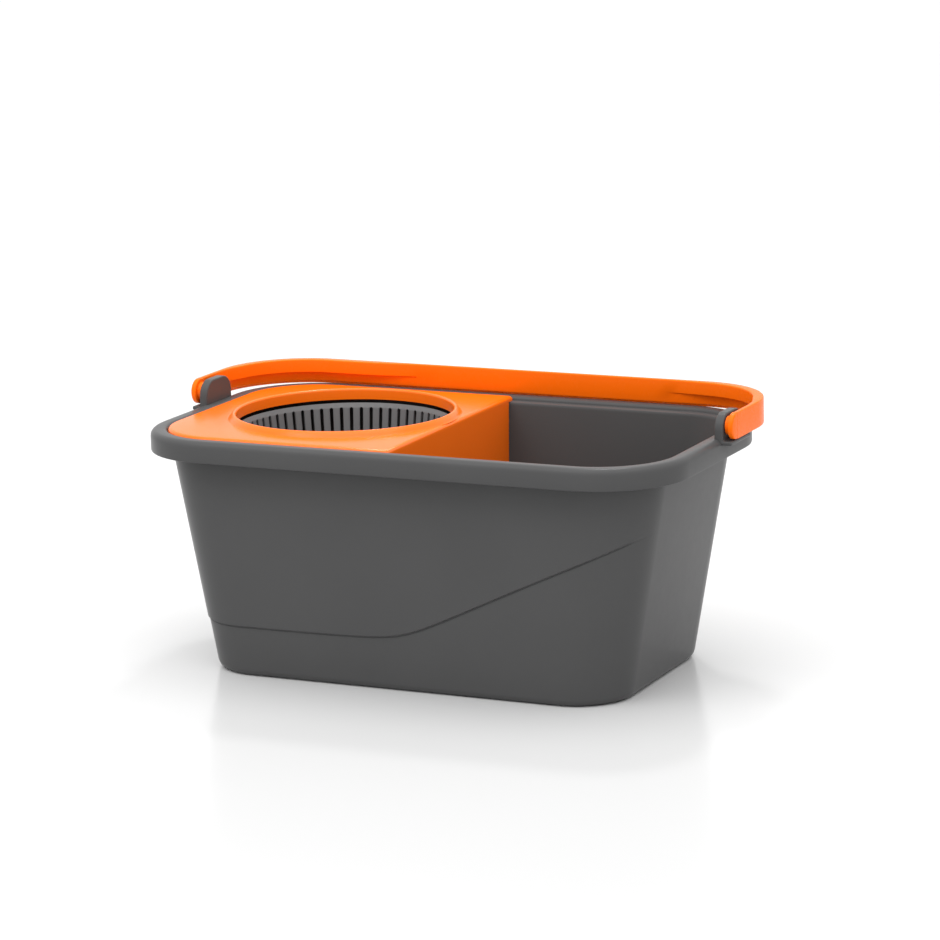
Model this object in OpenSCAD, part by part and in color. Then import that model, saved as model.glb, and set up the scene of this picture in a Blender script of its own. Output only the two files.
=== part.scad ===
// Wringing bucket of a spin mop set: a tapered bucket with a splash cover, a spinning wringer basket on a
// bearing spindle, and a bail handle that folds down on the rear rim.
// Frame: +X to the washing side, +Y to the rear, +Z up, origin under the middle of the bucket's base.

/* [Bucket] */
// Length over the rolled rim
rim_length = 480; // [470:1:484]
// Width over the rolled rim
rim_width = 275; // [270:1:280]
// Height of the top of the rim
rim_height = 204; // [200:1:208]
// Corner radius of the rim
rim_corner = 74; // [66:1:78]
// Height of the skirt that hangs from the rim
skirt_height = 18; // [14:1:20]
// Thickness of the bucket's wall
wall = 3.2; // [2.8:0.1:3.4]
// Thickness of the bucket's floor
floor_thickness = 3; // [2.6:0.1:3.4]
// Depth of the recessed panel below the step line
panel_recess = 1.2; // [0.8:0.1:1.4]
// Height of the step line along its level stretch
step_low = 47; // [40:1:54]
// Rise of the step line towards the washing side
step_slope = 0.463; // [0.4:0.01:0.5]

/* [Splash cover] */
// Distance from the bucket's middle to the centre of the round hole
hole_offset = 98; // [97:0.5:99]
// Radius of the round hole
hole_radius = 92.2; // [91.5:0.1:93]
// Radius over the raised ring
ring_radius = 98.5; // [98:0.1:99]
// Height of the raised ring above the rim
ring_rise = 6; // [4:0.5:7]
// Thickness of the cover's plate and wall
cover_thickness = 2.5; // [2:0.1:3]
// Height of the lower edge of the cover's wall
cover_wall_low = 60; // [50:1:80]

/* [Spin basket] */
// Radius over the top of the basket's wall
basket_top_radius = 91.6; // [90.5:0.1:92]
// Radius over the bottom of the basket's wall
basket_low_radius = 80; // [76:1:84]
// Height of the basket's rim
basket_top = 198.5; // [196:0.5:199]
// Height of the top face of the basket's floor
basket_floor = 115; // [115:0.5:116]
// Thickness of the basket's wall
basket_wall = 2.2; // [2:0.1:2.4]
// Number of slots around the wall, even
slot_count = 64; // [48:2:64]
// Width of one slot
slot_width = 3.3; // [3:0.1:3.6]

/* [Handle] */
// Overall width across the two end tabs
handle_width = 500; // [499:0.5:501]
// Thickness of the strap
strap_thickness = 4; // [3.5:0.1:4.5]
// Corner radius of the strap, outside
strap_corner = 72; // [68:1:76]
// Distance of the pivot behind the middle of the bucket
pivot_back = 17; // [15:0.5:20]
// Height of the pivot
pivot_height = 214; // [214:0.1:214.4]
// Radius of the rounded end tabs
tab_radius = 11; // [10.5:0.1:11.1]
// Radius of the pivot pegs
peg_radius = 5; // [4.5:0.1:5.5]

/* [Bearings] */
// Bore radius of the bearings, and the radius of the spindle pin
pin_radius = 4; // [3.9:0.05:4.1]
// Outer radius of the bearings
bearing_radius = 11; // [10.9:0.05:11.1]
// Width of one bearing
bearing_width = 7; // [6.9:0.05:7.1]
// Balls in one bearing
ball_count = 7; // [6:1:7]
// Radius of one ball
ball_radius = 1.984; // [1.9:0.01:2]

/* [Hidden] */
$fn = 64;
eps = 0.05;

// Half sizes of the rim, and of the body at its foot and under the rim
rim_a = rim_length / 2;
rim_b = rim_width / 2;
foot_a = rim_a - 52;
foot_b = rim_b - 27.5;
foot_corner = rim_corner - 26;
neck_a = rim_a - 18.5;
neck_b = rim_b - 18.5;
neck_corner = rim_corner - 19;
neck_z = rim_height - skirt_height;
// Rim profile: levels below the top, and insets from the rim's outline
skirt_inset = 2.4;
channel_drop = 3;
rim_underside = rim_height - 7.5;
shelf_drop = 3.5;
shelf_inset = 14.4;
shelf_z = rim_height - shelf_drop;
foot_round = 6.5;
// Bend of the step line, and the sharpness of its step
bend_x = 5.6;
bend_soft = 25;
step_edge = 0.9;
step_reference_z = 100;
// Outline stations: cuts around one corner and along one long side
corner_cuts = 9;
side_cuts = 12;

// Lugs that carry the handle, and the ledge under each end tab
lug_length = 44;
lug_inner = rim_a - 6;
lug_outer = rim_a + 1.5;
lug_top = rim_height + 20.4;
lug_foot = neck_z + 2;
lug_corner = 14;
ledge_outer = handle_width / 2 - 1;
ledge_top = pivot_height - tab_radius - 0.7;
ledge_thickness = 5;
peg_clearance = 0.06;
peg_gap = 0.7;
socket_wall = 1.5;
peg_end_gap = 0.4;
strap_bottom = rim_height + 0.8;
strap_top = pivot_height + tab_radius;

// Splash cover
cover_gap = 0.4;
cover_inset = shelf_inset + cover_gap;
plate_top = rim_height + 1;
plate_bottom = plate_top - cover_thickness;
hem_thickness = 2;
wall_face = 2;
wall_gap = 1.3;
lip_bottom = shelf_z - 0.1;
ring_crest = rim_height + ring_rise;

// Spindle: levels from the bucket's floor up
stand_top = 84;
washer_height = 2;
lower_bearing_z = stand_top + washer_height;
spacer_height = 10;
upper_bearing_z = lower_bearing_z + bearing_width + spacer_height;
clip_z = upper_bearing_z + bearing_width + 0.3;
clip_thickness = 1.1;
pin_foot = 44;
pin_top = clip_z + 3;
race_radius = (pin_radius + bearing_radius) / 2;
race_clearance = 0.06;
inner_shoulder = 6.3;
outer_shoulder = 8.8;
cage_inner = 6.75;
cage_outer = 8.3;
cage_height = 4.6;

// Stand screws and the bosses that they go into
stand_screw_circle = 36;
boss_radius = 4.5;
boss_top = 15;
sleeve_wall = 2.6;
sleeve_roof = 3;
screw_radius = 1.6;
screw_head_radius = 3.6;
screw_head_height = 2.2;
stand_flange_radius = 45;
stand_flange_height = 4;
post_low_radius = 20;
post_top_radius = 15.5;

// Basket hub, floor and drive crown
hub_wall = 4;
hub_radius = bearing_radius + hub_wall;
hub_bottom = stand_top + 0.8;
hub_top = basket_floor + 1;
hub_step = 9.6;
basket_floor_thickness = 3;
slot_low = basket_floor + 7;
slot_high = basket_top - 8.5;
rim_bead = 1.6;
bead_height = 4;
drain_inner = 38;
drain_outer = 72;
drain_count = 24;
drain_width = 3;
crown_screw_circle = 25;
crown_boss_radius = 4;
crown_boss_drop = 8;
crown_screw_radius = 1.4;
crown_head_radius = 3;
crown_flange_radius = 32;
crown_flange_height = 3;
crown_post_base = 20;
crown_post_tip = 12;
crown_height = 36;
crown_cavity = 16;
spline_count = 6;

function lerp(low, high, t) = low + (high - low) * t;
function body_a(z) = lerp(foot_a, neck_a, z / neck_z);
function body_b(z) = lerp(foot_b, neck_b, z / neck_z);
function body_corner(z) = lerp(foot_corner, neck_corner, z / neck_z);
function step_z(x) = step_low + step_slope * (x - bend_x + sqrt(pow(x - bend_x, 2) + pow(bend_soft, 2))) / 2;
function basket_radius(z) = lerp(basket_low_radius, basket_top_radius,
    (z - basket_floor) / (basket_top - basket_floor));

// Stations around a rounded rectangle: straight-side share in X and Y, then direction in the corner
corner_signs = [[1, 1], [-1, 1], [-1, -1], [1, -1]];
stations = [for (q = [0 : 3]) each concat(
    [for (k = [0 : corner_cuts]) let (angle = 90 * (q + k / corner_cuts))
        [corner_signs[q][0], corner_signs[q][1], cos(angle), sin(angle)]],
    q % 2 == 0
        ? [for (k = [1 : side_cuts - 1]) let (side = q == 0 ? 1 : -1)
            [side * (1 - 2 * k / side_cuts), side, 0, side]]
        : [])];

function station_x(s, a, r) = s[0] * (a - r) + s[2] * r;
function station_y(s, b, r) = s[1] * (b - r) + s[3] * r;
function outline(a, b, r, z) = [for (s = stations) [station_x(s, a, r), station_y(s, b, r), z]];
function rim_ring(inset, z) = outline(rim_a - inset, rim_b - inset, rim_corner - inset, z);
function body_ring(inset, z) = outline(body_a(z) - inset, body_b(z) - inset, body_corner(z) - inset, z);
function body_station(s, inset, z) = [
    station_x(s, body_a(z) - inset, body_corner(z) - inset),
    station_y(s, body_b(z) - inset, body_corner(z) - inset),
    z];
function step_ring(inset, rise) = [for (s = stations)
    body_station(s, inset, rise + step_z(station_x(s, body_a(step_reference_z), body_corner(step_reference_z))))];

// The bucket's skin as rings: up the outside, around the rim, down the inside
bucket_rings = [
    body_ring(panel_recess + foot_round, 0),
    body_ring(panel_recess + foot_round * 0.5, foot_round * 0.14),
    body_ring(panel_recess + foot_round * 0.15, foot_round * 0.48),
    body_ring(panel_recess, foot_round),
    step_ring(panel_recess, -step_edge),
    step_ring(0, step_edge),
    body_ring(0, rim_underside),
    rim_ring(skirt_inset, rim_height - channel_drop),
    rim_ring(skirt_inset, neck_z),
    rim_ring(0, neck_z),
    rim_ring(0, rim_height - 4),
    rim_ring(0.6, rim_height - 2),
    rim_ring(2, rim_height - 0.6),
    rim_ring(4, rim_height),
    rim_ring(shelf_inset - 3.4, rim_height),
    rim_ring(shelf_inset - 1.4, rim_height - 0.6),
    rim_ring(shelf_inset - 0.4, rim_height - 2),
    rim_ring(shelf_inset, shelf_z),
    body_ring(wall - 1.8, shelf_z),
    body_ring(wall - 0.5, shelf_z - 0.6),
    body_ring(wall, shelf_z - 2.5),
    body_ring(wall, floor_thickness + 6),
    body_ring(wall + 1.8, floor_thickness + 1.8),
    body_ring(wall + 6, floor_thickness)];

// Closed skin through a list of rings that all have the same number of points
module loft(rings) {
    n = len(rings[0]);
    last = len(rings) - 1;
    sides = [for (k = [0 : last - 1], i = [0 : n - 1]) let (j = (i + 1) % n)
        [(k + 1) * n + i, (k + 1) * n + j, k * n + j, k * n + i]];
    start_cap = [for (i = [0 : n - 1]) i];
    end_cap = [for (i = [n - 1 : -1 : 0]) last * n + i];
    polyhedron(points = [for (ring = rings) each ring], faces = concat([start_cap, end_cap], sides));
}

// Rounded rectangle with half sizes a and b
module rounded_plate(a, b, r) {
    square([2 * a, 2 * (b - r)], center = true);
    square([2 * (a - r), 2 * b], center = true);
    for (sx = [-1, 1], sy = [-1, 1]) translate([sx * (a - r), sy * (b - r)]) circle(r);
}

module at_spindle() {
    translate([-hole_offset, 0, 0]) children();
}

module around(count, radius, start = 0) {
    for (k = [0 : count - 1]) rotate(start + 360 * k / count) translate([radius, 0, 0]) children();
}

module tube(outer, inner, low, height) {
    translate([0, 0, low]) difference() {
        cylinder(h = height, r = outer);
        translate([0, 0, -1]) cylinder(h = height + 2, r = inner);
    }
}

// A cylinder along X from x0 to x1 on the handle's pivot axis
module on_pivot(radius, x0, x1) {
    translate([x0, pivot_back, pivot_height]) rotate([0, 90, 0]) cylinder(h = x1 - x0, r = radius);
}

module mirrored_in_x() {
    children();
    mirror([1, 0, 0]) children();
}

// Side view of one lug: a tall plate with a rounded top
module lug_profile() {
    square([lug_length, lug_top - lug_corner - lug_foot]);
    translate([lug_corner, 0]) square([lug_length - 2 * lug_corner, lug_top - lug_foot]);
    for (y = [lug_corner, lug_length - lug_corner])
        translate([y, lug_top - lug_corner - lug_foot]) circle(lug_corner);
}

module lug() {
    translate([lug_inner, 0, lug_foot]) rotate([90, 0, 90])
        linear_extrude(height = lug_outer - lug_inner) lug_profile();
    translate([rim_a - 2, 0, ledge_top - ledge_thickness])
        cube([ledge_outer - rim_a + 2, lug_length, ledge_thickness]);
}

module bucket() {
    color("dimgray") difference() {
        union() {
            loft(bucket_rings);
            mirrored_in_x() lug();
            at_spindle() around(4, stand_screw_circle, 45)
                translate([0, 0, floor_thickness / 2]) cylinder(h = boss_top - floor_thickness / 2, r = boss_radius);
        }
        mirrored_in_x() on_pivot(peg_radius + peg_clearance, lug_inner + socket_wall, lug_outer + 1);
        at_spindle() around(4, stand_screw_circle, 45)
            translate([0, 0, floor_thickness * 2]) cylinder(h = boss_top, r = screw_radius);
    }
}

// The hem that stands on the rim's inner shelf
module cover_hem() {
    translate([0, 0, shelf_z]) linear_extrude(height = plate_bottom - shelf_z + eps) intersection() {
        difference() {
            rounded_plate(rim_a - cover_inset, rim_b - cover_inset, rim_corner - cover_inset);
            rounded_plate(rim_a - cover_inset - hem_thickness, rim_b - cover_inset - hem_thickness,
                rim_corner - cover_inset - hem_thickness);
        }
        translate([-rim_a, -rim_b]) square([rim_a + wall_face, rim_width]);
    }
}

module cover_plate() {
    translate([0, 0, plate_bottom]) linear_extrude(height = cover_thickness) difference() {
        intersection() {
            rounded_plate(rim_a - cover_inset, rim_b - cover_inset, rim_corner - cover_inset);
            translate([-rim_a, -rim_b]) square([rim_a + wall_face, rim_width]);
        }
        translate([-hole_offset, 0]) circle(hole_radius + eps);
    }
}

// The raised ring around the hole, with a rounded crest
module cover_ring() {
    crest_radius = 2.4;
    at_spindle() rotate_extrude() {
        polygon([
            [hole_radius, lip_bottom],
            [hole_radius + cover_thickness, lip_bottom],
            [ring_radius - 1.2, plate_bottom],
            [ring_radius, plate_top],
            [ring_radius - 1.6, ring_crest - crest_radius],
            [hole_radius + 0.9, ring_crest - crest_radius],
            [hole_radius, plate_top]]);
        translate([(ring_radius + hole_radius - 0.7) / 2, ring_crest - crest_radius]) circle(crest_radius);
    }
}

// The straight wall that shuts the basket off from the washing side
module cover_wall() {
    inset = wall + wall_gap;
    top_half = body_b(shelf_z - 4) - inset;
    low_half = body_b(cover_wall_low) - inset;
    translate([wall_face - cover_thickness, 0, 0]) rotate([90, 0, 90]) linear_extrude(height = cover_thickness)
        polygon([
            [-low_half, cover_wall_low],
            [low_half, cover_wall_low],
            [top_half, shelf_z - 4],
            [top_half, plate_bottom + eps],
            [-top_half, plate_bottom + eps],
            [-top_half, shelf_z - 4]]);
}

module splash_cover() {
    color("darkorange") union() {
        cover_plate();
        cover_hem();
        cover_ring();
        cover_wall();
    }
}

module spindle_stand() {
    sleeve_radius = boss_radius + 0.1;
    color("gray") at_spindle() difference() {
        union() {
            translate([0, 0, floor_thickness]) cylinder(h = stand_flange_height, r = stand_flange_radius);
            translate([0, 0, floor_thickness])
                cylinder(h = stand_top - floor_thickness, r1 = post_low_radius, r2 = post_top_radius);
            around(4, stand_screw_circle, 45)
                translate([0, 0, floor_thickness])
                    cylinder(h = boss_top + sleeve_roof - floor_thickness, r = boss_radius + sleeve_wall);
            for (angle = [0, 90]) rotate([90, 0, angle]) linear_extrude(height = 3, center = true)
                polygon([
                    [-stand_flange_radius + 3, floor_thickness + 1],
                    [stand_flange_radius - 3, floor_thickness + 1],
                    [post_top_radius - 1, stand_top - 16],
                    [1 - post_top_radius, stand_top - 16]]);
        }
        around(4, stand_screw_circle, 45) {
            translate([0, 0, floor_thickness - 1])
                cylinder(h = boss_top - floor_thickness + 1, r = sleeve_radius);
            cylinder(h = boss_top + 2 * sleeve_roof, r = screw_radius + 0.4);
        }
        translate([0, 0, pin_foot]) cylinder(h = stand_top, r = pin_radius);
    }
}

// One pan-head screw that stands with the underside of its head at z = 0
module pan_head_screw(shank_radius, head_radius, head_height, length) {
    translate([0, 0, -length]) cylinder(h = length + eps, r = shank_radius);
    difference() {
        cylinder(h = head_height, r1 = head_radius, r2 = head_radius - 0.8);
        for (angle = [0, 90]) rotate(angle)
            translate([0, 0, head_height]) cube([head_radius * 1.1, 0.8, head_height], center = true);
    }
}

module stand_screws() {
    color("silver") at_spindle() around(4, stand_screw_circle, 45)
        translate([0, 0, boss_top + sleeve_roof])
            pan_head_screw(screw_radius, screw_head_radius, screw_head_height, 11);
}

module spindle_pin() {
    color("silver") at_spindle() difference() {
        union() {
            translate([0, 0, pin_foot]) cylinder(h = pin_top - pin_foot - 1, r = pin_radius);
            translate([0, 0, pin_top - 1]) cylinder(h = 1, r1 = pin_radius, r2 = pin_radius - 1);
        }
        tube(pin_radius + 1, pin_radius - 0.6, clip_z, clip_thickness + 0.1);
    }
}

module thrust_washer() {
    color("silver") at_spindle() tube(inner_shoulder - 0.1, pin_radius + 0.1, stand_top, washer_height);
}

module spacer_sleeve() {
    color("silver") at_spindle()
        tube(inner_shoulder - 0.3, pin_radius + 0.1, lower_bearing_z + bearing_width, spacer_height);
}

module retaining_clip() {
    color("silver") at_spindle() difference() {
        tube(pin_radius + 2.4, pin_radius - 0.5, clip_z, clip_thickness);
        translate([0, -2.2, clip_z - 1]) cube([pin_radius + 4, 4.4, clip_thickness + 2]);
    }
}

// The space that one ball sweeps around a bearing, with its clearance
module race_groove(low) {
    translate([0, 0, low + bearing_width / 2]) rotate_extrude()
        translate([race_radius, 0]) circle(ball_radius + race_clearance);
}

module inner_ring(low) {
    color("lightsteelblue") at_spindle() difference() {
        tube(inner_shoulder, pin_radius, low, bearing_width);
        race_groove(low);
    }
}

module outer_ring(low) {
    color("lightsteelblue") at_spindle() difference() {
        tube(bearing_radius, outer_shoulder, low, bearing_width);
        race_groove(low);
    }
}

module balls(low) {
    around(ball_count, race_radius)
        translate([0, 0, low + bearing_width / 2]) sphere(ball_radius);
}

// Ring that spaces the balls, with one drilled pocket for each ball
module cage(low) {
    color("ivory") at_spindle() difference() {
        tube(cage_outer, cage_inner, low + (bearing_width - cage_height) / 2, cage_height);
        around(ball_count, race_radius)
            translate([0, 0, low + bearing_width / 2]) rotate([0, 90, 0])
                cylinder(h = 2 * (cage_outer - cage_inner), r = ball_radius + race_clearance, center = true);
    }
}

module lower_inner_ring() {
    inner_ring(lower_bearing_z);
}

module upper_inner_ring() {
    inner_ring(upper_bearing_z);
}

module lower_outer_ring() {
    outer_ring(lower_bearing_z);
}

module upper_outer_ring() {
    outer_ring(upper_bearing_z);
}

module lower_cage() {
    cage(lower_bearing_z);
}

module upper_cage() {
    cage(upper_bearing_z);
}

module lower_balls() {
    color("silver") at_spindle() balls(lower_bearing_z);
}

module upper_balls() {
    color("silver") at_spindle() balls(upper_bearing_z);
}

// Tapered wall of the basket, slotted all round between its foot and its rim bead
module basket_shell() {
    low = basket_floor - basket_floor_thickness;
    difference() {
        rotate_extrude() polygon([
            [basket_radius(low) - basket_wall, low],
            [basket_radius(low), low],
            [basket_radius(basket_top - bead_height), basket_top - bead_height],
            [basket_top_radius + rim_bead, basket_top - bead_height],
            [basket_top_radius + rim_bead, basket_top],
            [basket_top_radius - basket_wall, basket_top]]);
        for (k = [0 : slot_count / 2 - 1]) rotate(180 * k / (slot_count / 2))
            translate([-basket_top_radius * 1.1, -slot_width / 2, slot_low])
                cube([basket_top_radius * 2.2, slot_width, slot_high - slot_low]);
    }
}

module basket_base() {
    low = basket_floor - basket_floor_thickness;
    difference() {
        union() {
            translate([0, 0, low]) cylinder(h = basket_floor_thickness, r = basket_radius(low) - 0.5);
            translate([0, 0, hub_bottom]) cylinder(h = hub_top - hub_bottom, r = hub_radius);
            around(3, crown_screw_circle)
                translate([0, 0, low - crown_boss_drop])
                    cylinder(h = crown_boss_drop + 1, r = crown_boss_radius);
        }
        translate([0, 0, hub_bottom - 1]) cylinder(h = hub_top, r = hub_step);
        translate([0, 0, hub_bottom - 1])
            cylinder(h = lower_bearing_z + bearing_width - hub_bottom + 1, r = bearing_radius);
        translate([0, 0, upper_bearing_z]) cylinder(h = hub_top, r = bearing_radius);
        around(3, crown_screw_circle)
            translate([0, 0, low - crown_boss_drop + 1.5]) cylinder(h = hub_top, r = crown_screw_radius);
        around(drain_count, drain_inner, 180 / drain_count)
            translate([0, -drain_width / 2, low - 1])
                cube([drain_outer - drain_inner, drain_width, basket_floor_thickness + 2]);
    }
}

module spin_basket() {
    color("gray") at_spindle() union() {
        basket_shell();
        basket_base();
    }
}

module dust_cap() {
    color("black") at_spindle() {
        tube(bearing_radius, bearing_radius - 1.5, clip_z + clip_thickness + 0.6,
            hub_top - clip_z - clip_thickness);
        translate([0, 0, hub_top]) cylinder(h = 1.5, r = hub_radius - 2);
    }
}

module drive_crown() {
    post_z = basket_floor + crown_flange_height;
    tip_z = basket_floor + crown_height;
    color("dimgray") at_spindle() difference() {
        union() {
            translate([0, 0, basket_floor]) cylinder(h = crown_flange_height, r = crown_flange_radius);
            translate([0, 0, post_z]) cylinder(h = tip_z - post_z, r1 = crown_post_base, r2 = crown_post_tip);
            around(spline_count, 0) translate([0, -1.5, post_z - 1])
                cube([crown_post_tip + 2.5, 3, tip_z - post_z - 3]);
        }
        translate([0, 0, basket_floor - 1]) cylinder(h = 6, r = crown_cavity);
        around(3, crown_screw_circle)
            translate([0, 0, basket_floor - 1]) cylinder(h = crown_height, r = crown_screw_radius + 0.3);
    }
}

module crown_screws() {
    color("silver") at_spindle() around(3, crown_screw_circle)
        translate([0, 0, basket_floor + crown_flange_height])
            pan_head_screw(crown_screw_radius, crown_head_radius, 1.8, 11);
}

// Plan of the folded strap: two side arms, two quarter rings and the grip along the rear
module strap_plan() {
    rear = rim_b;
    half = handle_width / 2;
    centre_x = half - strap_corner;
    centre_y = rear - strap_corner;
    translate([half - strap_thickness, pivot_back]) square([strap_thickness, centre_y - pivot_back]);
    translate([0, rear - strap_thickness]) square([centre_x, strap_thickness]);
    translate([centre_x, centre_y]) intersection() {
        difference() {
            circle(strap_corner);
            circle(strap_corner - strap_thickness);
        }
        square(strap_corner + 1);
    }
}

// End tab with the peg that springs into the lug's blind socket
module end_tab() {
    on_pivot(tab_radius, lug_outer + peg_gap, handle_width / 2);
    on_pivot(peg_radius, lug_inner + socket_wall + peg_end_gap, lug_outer + peg_gap + eps);
}

module bail_handle() {
    color("orangered") mirrored_in_x() {
        translate([0, 0, strap_bottom]) linear_extrude(height = strap_top - strap_bottom) strap_plan();
        end_tab();
    }
}

bucket();
splash_cover();
spindle_stand();
stand_screws();
spindle_pin();
thrust_washer();
lower_inner_ring();
spacer_sleeve();
upper_inner_ring();
retaining_clip();
spin_basket();
drive_crown();
crown_screws();
lower_outer_ring();
upper_outer_ring();
dust_cap();
lower_cage();
lower_balls();
upper_cage();
upper_balls();
bail_handle();
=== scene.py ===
"""Looks of a wringing bucket: bucket, splash cover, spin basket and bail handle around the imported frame.

Lengths in the classes are millimetres in the part's own frame, and MM turns them into Blender's metres.
+X is the washing side, +Y the rear and +Z up.
"""

from __future__ import annotations

import logging
import math
from collections.abc import Callable, Sequence
from dataclasses import dataclass, field
from enum import Enum

import bmesh
import bpy
from mathutils import Matrix, Vector


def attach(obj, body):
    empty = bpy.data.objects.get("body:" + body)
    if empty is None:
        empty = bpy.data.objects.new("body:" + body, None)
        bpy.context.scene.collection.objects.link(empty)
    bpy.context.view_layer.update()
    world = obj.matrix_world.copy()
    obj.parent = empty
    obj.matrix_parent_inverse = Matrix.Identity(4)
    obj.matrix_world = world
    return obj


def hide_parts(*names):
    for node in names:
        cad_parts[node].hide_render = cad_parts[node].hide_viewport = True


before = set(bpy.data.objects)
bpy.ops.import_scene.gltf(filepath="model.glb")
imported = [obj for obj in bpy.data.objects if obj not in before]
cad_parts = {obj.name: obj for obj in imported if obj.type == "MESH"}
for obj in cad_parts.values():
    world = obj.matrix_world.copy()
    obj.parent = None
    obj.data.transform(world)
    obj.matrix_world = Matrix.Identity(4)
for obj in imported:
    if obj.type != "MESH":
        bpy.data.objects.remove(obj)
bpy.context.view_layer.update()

MM = 0.001
TOLERANCE = 1e-6
NEAR = 0.1
SMOOTH_ANGLE = 32.0
FACING = 0.9
LOG = logging.getLogger("wringing_bucket")

Point = tuple[float, float]
Colour = Sequence[float]
Piece = bpy.types.Object
Socket = bpy.types.NodeSocket


class Element(Enum):
    """What a selection in edit mode is made of."""

    VERTEX = "VERT"
    EDGE = "EDGE"
    FACE = "FACE"


class Body(Enum):
    """The rigid bodies of the frame that new pieces ride on."""

    BUCKET = "bucket_body"
    BASKET = "basket_body"
    HANDLE = "handle_body"


# The bench: operators with selection in code


def deselect() -> None:
    """Deselects every object."""
    bpy.ops.object.select_all(action="DESELECT")


def pick(piece: Piece) -> None:
    """Selects one object alone and makes it the active one."""
    deselect()
    piece.select_set(True)
    bpy.context.view_layer.objects.active = piece


def extrude(move: Sequence[float]) -> None:
    """Extrudes what is selected by a move in metres."""
    bpy.ops.mesh.extrude_region_move(TRANSFORM_OT_translate={"value": move})


def round_off(width: float, segments: int, affect: str = "EDGES") -> None:
    """Rounds the selected edges or corners by a width in millimetres."""
    bpy.ops.mesh.bevel(
        offset=width * MM, affect=affect, segments=segments, profile=0.5, clamp_overlap=False
    )


def open_bench(name: str) -> Piece:
    """Adds an empty mesh object at the origin and stays in edit mode.

    Args:
        name: The piece's name.

    Returns:
        The new object.
    """
    deselect()
    bpy.ops.mesh.primitive_plane_add()
    piece = bpy.context.object
    piece.name = name
    piece.data.name = name
    bpy.ops.object.mode_set(mode="EDIT")
    bpy.ops.mesh.delete(type="VERT")
    return piece


def close_bench(piece: Piece, smooth_angle: float = SMOOTH_ANGLE) -> Piece:
    """Merges doubles, points the faces outwards and goes back to object mode with smooth shading.

    Args:
        piece: The object in edit mode.
        smooth_angle: Largest angle in degrees that is shaded smooth.

    Returns:
        The same object.
    """
    bpy.ops.mesh.select_mode(type="VERT")
    bpy.ops.mesh.select_all(action="SELECT")
    bpy.ops.mesh.remove_doubles(threshold=TOLERANCE)
    bpy.ops.mesh.normals_make_consistent(inside=False)
    bpy.ops.object.mode_set(mode="OBJECT")
    bpy.ops.object.shade_smooth_by_angle(angle=math.radians(smooth_angle))
    return piece


def mesh_of(piece: Piece) -> bmesh.types.BMesh:
    """Looks up the mesh under work.

    Args:
        piece: The object in edit mode.

    Returns:
        Its mesh, with the lookup tables ready.
    """
    shape = bmesh.from_edit_mesh(piece.data)
    shape.verts.ensure_lookup_table()
    shape.verts.index_update()
    return shape


def select(piece: Piece, element: Element, test: Callable[..., bool]) -> None:
    """Selects the elements that pass a test, and nothing else.

    Args:
        piece: The object in edit mode.
        element: Whether vertices, edges or faces are tested.
        test: Says whether one element is taken.
    """
    bpy.ops.mesh.select_mode(type=element.value)
    bpy.ops.mesh.select_all(action="DESELECT")
    shape = mesh_of(piece)
    pool = {Element.VERTEX: shape.verts, Element.EDGE: shape.edges, Element.FACE: shape.faces}[element]
    for item in [item for item in pool if test(item)]:
        item.select_set(True)
    shape.select_flush_mode()
    bmesh.update_edit_mesh(piece.data)


def nudge(piece: Piece, moves: dict[int, Vector]) -> None:
    """Moves single vertices.

    Args:
        piece: The object in edit mode.
        moves: Vertex index to its move in metres.
    """
    bpy.ops.mesh.select_mode(type="VERT")
    for index, move in moves.items():
        bpy.ops.mesh.select_all(action="DESELECT")
        shape = mesh_of(piece)
        shape.verts[index].select_set(True)
        bpy.ops.transform.translate(value=move)


def add_line(piece: Piece, points: Sequence[Vector], closed: bool = True) -> range:
    """Draws a line of edges by extruding one vertex from point to point.

    Args:
        piece: The object in edit mode.
        points: Corners of the line in metres.
        closed: Whether the last point joins the first.

    Returns:
        The indices of the new vertices, all selected.
    """
    first = len(mesh_of(piece).verts)
    bpy.ops.mesh.select_mode(type="VERT")
    bpy.ops.mesh.primitive_plane_add(size=MM, location=points[0])
    bpy.ops.mesh.merge(type="CENTER")
    for start, end in zip(points, points[1:]):
        extrude(end - start)
    last = len(mesh_of(piece).verts)
    if closed:
        select(piece, Element.VERTEX, lambda v: v.index in (first, last - 1))
        bpy.ops.mesh.edge_face_add()
    select(piece, Element.VERTEX, lambda v: first <= v.index < last)
    return range(first, last)


def turn_profile(piece: Piece, profile: Sequence[Point], axis_x: float, steps: int) -> None:
    """Spins a closed profile right round an upright axis at y = 0.

    Args:
        piece: The object in edit mode.
        profile: Radius and height of each corner, in millimetres.
        axis_x: Where the axis stands, in millimetres.
        steps: Facets around the axis.
    """
    start = [Vector((axis_x + radius, 0, height)) * MM for radius, height in profile]
    add_line(piece, start)
    bpy.ops.mesh.spin(steps=steps, angle=math.tau, center=(axis_x * MM, 0, 0), axis=(0, 0, 1))
    bpy.ops.mesh.select_all(action="SELECT")
    bpy.ops.mesh.remove_doubles(threshold=TOLERANCE)


def finish_with(piece: Piece, kind: str, **settings: object) -> None:
    """Adds a modifier to a piece in object mode and applies it.

    Args:
        piece: The object.
        kind: Blender's modifier type.
        settings: Values of the modifier's properties.
    """
    pick(piece)
    modifier = piece.modifiers.new(kind.title(), kind)
    for key, value in settings.items():
        setattr(modifier, key, value)
    bpy.ops.object.modifier_apply(modifier=modifier.name)


def soften(piece: Piece, width: float, segments: int, angle: float) -> None:
    """Bevels the edges of a finished piece that are sharper than an angle.

    Args:
        piece: The object.
        width: Width of the bevel in millimetres.
        segments: Facets across it.
        angle: The angle in degrees.
    """
    limit = math.radians(angle)
    finish_with(piece, "BEVEL", width=width * MM, segments=segments, limit_method="ANGLE", angle_limit=limit)


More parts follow.
